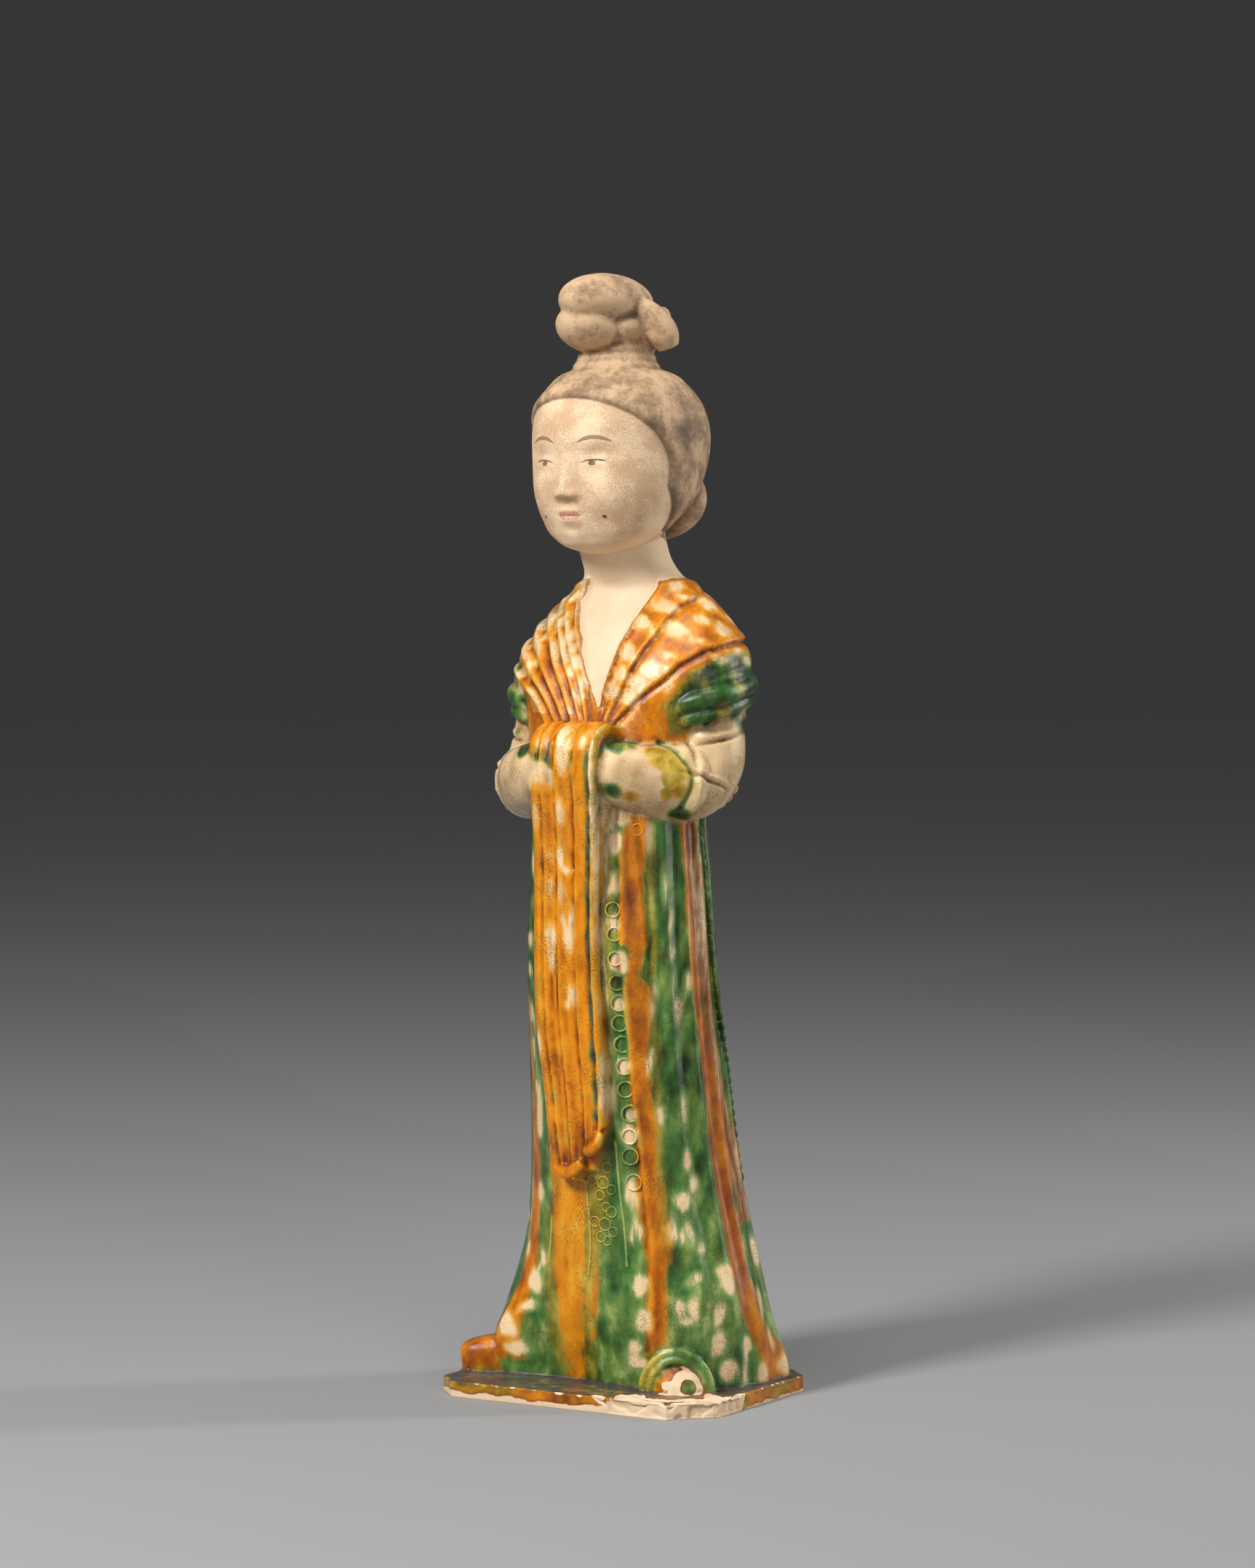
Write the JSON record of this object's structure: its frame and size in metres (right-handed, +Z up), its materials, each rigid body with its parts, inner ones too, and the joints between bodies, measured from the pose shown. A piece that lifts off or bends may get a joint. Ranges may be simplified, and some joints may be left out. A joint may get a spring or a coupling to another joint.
{
  "type": "standing court lady figure",
  "caption": "Three-colour glazed earthenware figure of a standing court lady on a thin plinth, hair in a chignon, hands wrapped in a long hanging sash.",
  "frame": {"origin": "middle of the plinth's flat underside", "axes": "+Z up along the figure, -Y out of the plinth's front, +X towards the lady's left"},
  "size_m": [0.1188, 0.0893, 0.4195],
  "materials": {
    "court_lady": "amber, green and cream lead glaze with bare buff clay on head, neck and breast"
  },
  "bodies": {
    "root": {"court_lady": "court_lady"}
  },
  "joints": []
}
